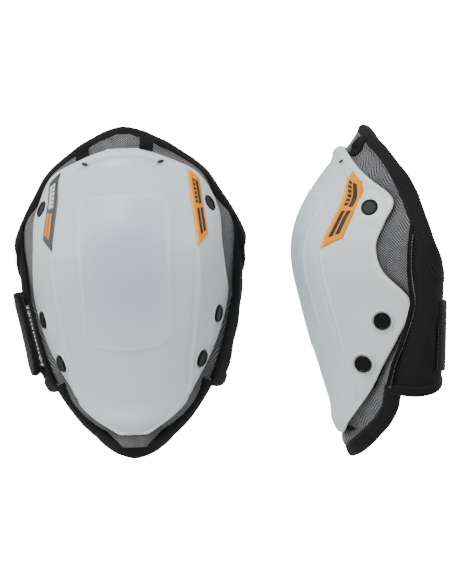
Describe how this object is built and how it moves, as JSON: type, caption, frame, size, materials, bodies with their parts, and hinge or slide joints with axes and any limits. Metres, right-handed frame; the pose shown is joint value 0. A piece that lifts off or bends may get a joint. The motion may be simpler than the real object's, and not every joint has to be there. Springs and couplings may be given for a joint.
{
  "type": "pair of knee pads",
  "caption": "Hard cap knee pads: removable milky plastic cap over a contoured foam pad with mesh cover, neoprene wings and an elastic hook-and-loop leg strap.",
  "frame": {"origin": "middle of the first pad's height on its symmetry plane, where the kneecap sits", "axes": "+X across the first pad towards the second, +Y from the cap towards the leg, +Z towards the thigh"},
  "size_m": [0.3695, 0.1928, 0.2869],
  "materials": {
    "milky_plastic": "satin milky moulding",
    "black_enamel": "gloss black",
    "nickel_steel": "nickel plated",
    "dark_print": "printed badge",
    "orange_print": "printed badge",
    "grey_mesh": "woven mesh",
    "foam": "soft foam",
    "gel": "soft gel",
    "black_knit": "knit binding",
    "black_webbing": "webbing",
    "neoprene": "smooth knit over neoprene",
    "loop_pile": "brushed loop",
    "elastic": "ribbed elastic",
    "hook_plastic": "moulded hooks"
  },
  "bodies": {
    "first_base": {"first_mesh_cover": "grey_mesh", "first_foam_core": "foam", "first_gel_insert": "gel", "first_inner_lining": "black_knit", "first_snap_studs": "nickel_steel", "first_snap_posts": "nickel_steel", "first_upper_binding": "black_knit", "first_lower_binding": "black_knit", "first_webbing_tabs": "black_webbing", "first_left_wing": "neoprene", "first_right_wing": "neoprene", "first_left_hem": "black_knit", "first_right_hem": "black_knit", "first_loop_panel": "loop_pile", "first_strap_anchor": "elastic"},
    "first_cap": {"first_cap_shell": "milky_plastic", "first_snap_caps": "black_enamel", "first_snap_sockets": "nickel_steel", "first_dark_badge": "dark_print", "first_orange_badge": "orange_print"},
    "first_strap": {"first_back_strap": "elastic"},
    "first_tab": {"first_hook_tab": "loop_pile", "first_hook_patch": "hook_plastic", "first_pull_strip": "elastic"},
    "second_base": {"second_mesh_cover": "grey_mesh", "second_foam_core": "foam", "second_gel_insert": "gel", "second_inner_lining": "black_knit", "second_snap_studs": "nickel_steel", "second_snap_posts": "nickel_steel", "second_upper_binding": "black_knit", "second_lower_binding": "black_knit", "second_webbing_tabs": "black_webbing", "second_left_wing": "neoprene", "second_right_wing": "neoprene", "second_left_hem": "black_knit", "second_right_hem": "black_knit", "second_loop_panel": "loop_pile", "second_strap_anchor": "elastic"},
    "second_cap": {"second_cap_shell": "milky_plastic", "second_snap_caps": "black_enamel", "second_snap_sockets": "nickel_steel", "second_dark_badge": "dark_print", "second_orange_badge": "orange_print"},
    "second_strap": {"second_back_strap": "elastic"},
    "second_tab": {"second_hook_tab": "loop_pile", "second_hook_patch": "hook_plastic", "second_pull_strip": "elastic"}
  },
  "joints": [
    {"name": "first_cap_off", "type": "slide", "parent": "first_base", "child": "first_cap", "axis": [0, -1, 0], "range_m": [0, 0.03], "deforming": ["first_snap_sockets"]},
    {"name": "first_strap_open", "type": "hinge", "parent": "first_base", "child": "first_strap", "pos_m": [0.066, 0.062, -0.034], "axis": [-0.2196, 0, -0.9756], "range_deg": [0, 42]},
    {"name": "first_tab_open", "type": "hinge", "parent": "first_strap", "child": "first_tab", "pos_m": [-0.066, 0.062, -0.034], "axis": [0.2196, 0, -0.9756], "range_deg": [0, 115]},
    {"name": "second_cap_off", "type": "slide", "parent": "second_base", "child": "second_cap", "axis": [-0.9921, -0.1219, 0.0303], "range_m": [0, 0.03], "deforming": ["second_snap_sockets"]},
    {"name": "second_strap_open", "type": "hinge", "parent": "second_base", "child": "second_strap", "pos_m": [0.26851, -0.05795, -0.04211], "axis": [-0.0565, 0.218, -0.9743], "range_deg": [0, 42]},
    {"name": "second_tab_open", "type": "hinge", "parent": "second_strap", "child": "second_tab", "pos_m": [0.25243, 0.07306, -0.04162], "axis": [-0.003, -0.218, -0.976], "range_deg": [0, 115]},
    {"name": "pads_apart", "type": "slide", "parent": "first_base", "child": "second_base", "axis": [1, 0, 0], "range_m": [0, 0.15]}
  ],
  "couplings": [
    {"joint": "first_strap_open", "follows": "first_tab_open", "ratio": 0.36},
    {"joint": "second_strap_open", "follows": "second_tab_open", "ratio": 0.36}
  ]
}
